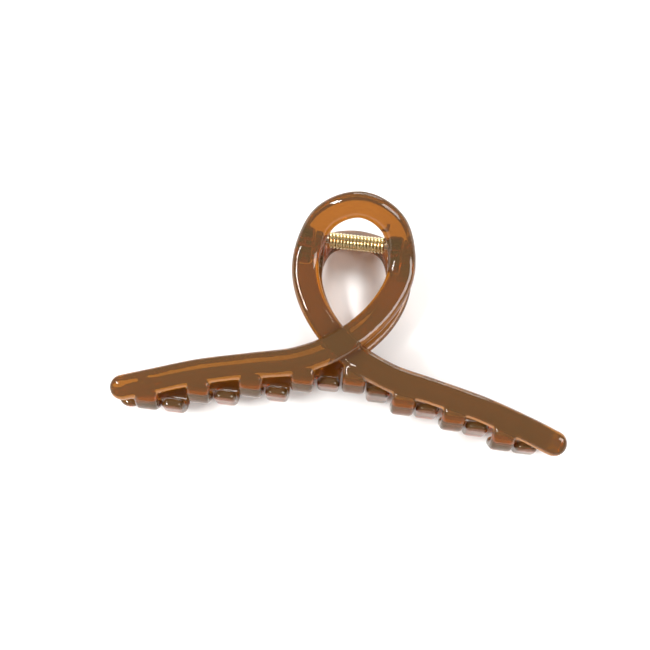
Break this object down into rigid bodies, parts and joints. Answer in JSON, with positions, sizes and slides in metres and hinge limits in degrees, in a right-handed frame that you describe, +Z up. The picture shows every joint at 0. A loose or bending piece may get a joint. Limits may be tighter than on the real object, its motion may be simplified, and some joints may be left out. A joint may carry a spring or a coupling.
{
  "type": "claw clip",
  "caption": "Sprung hair claw clip with two looped ribbon jaws, long curved arms and interlocking teeth, hinged on a pin inside a coil spring.",
  "frame": {"origin": "centre of the bounding box's bottom face, on the surface that the clip lies on", "axes": "X along the arms, Y from the teeth towards the loops, Z up; the clip lies on its back jaw with the front jaw on top"},
  "size_m": [0.1298, 0.0697, 0.0445],
  "materials": {
    "amber_plastic": "clear amber-brown moulded plastic, polished",
    "steel_pin": "drawn wire, lightly plated",
    "spring_wire": "gold-plated spring wire, bright"
  },
  "bodies": {
    "back_half": {"back_jaw": "amber_plastic", "hinge_pin": "steel_pin", "torsion_spring": "spring_wire"},
    "front_half": {"front_jaw": "amber_plastic"}
  },
  "joints": [
    {"name": "jaw_hinge", "type": "hinge", "parent": "back_half", "child": "front_half", "pos_m": [0, 0.0206, 0.02055], "axis": [-1, 0, 0], "range_deg": [0, 75], "stiffness_Nm_per_rad": 0.1, "springref_deg": -45.84, "deforming": ["torsion_spring"]}
  ]
}
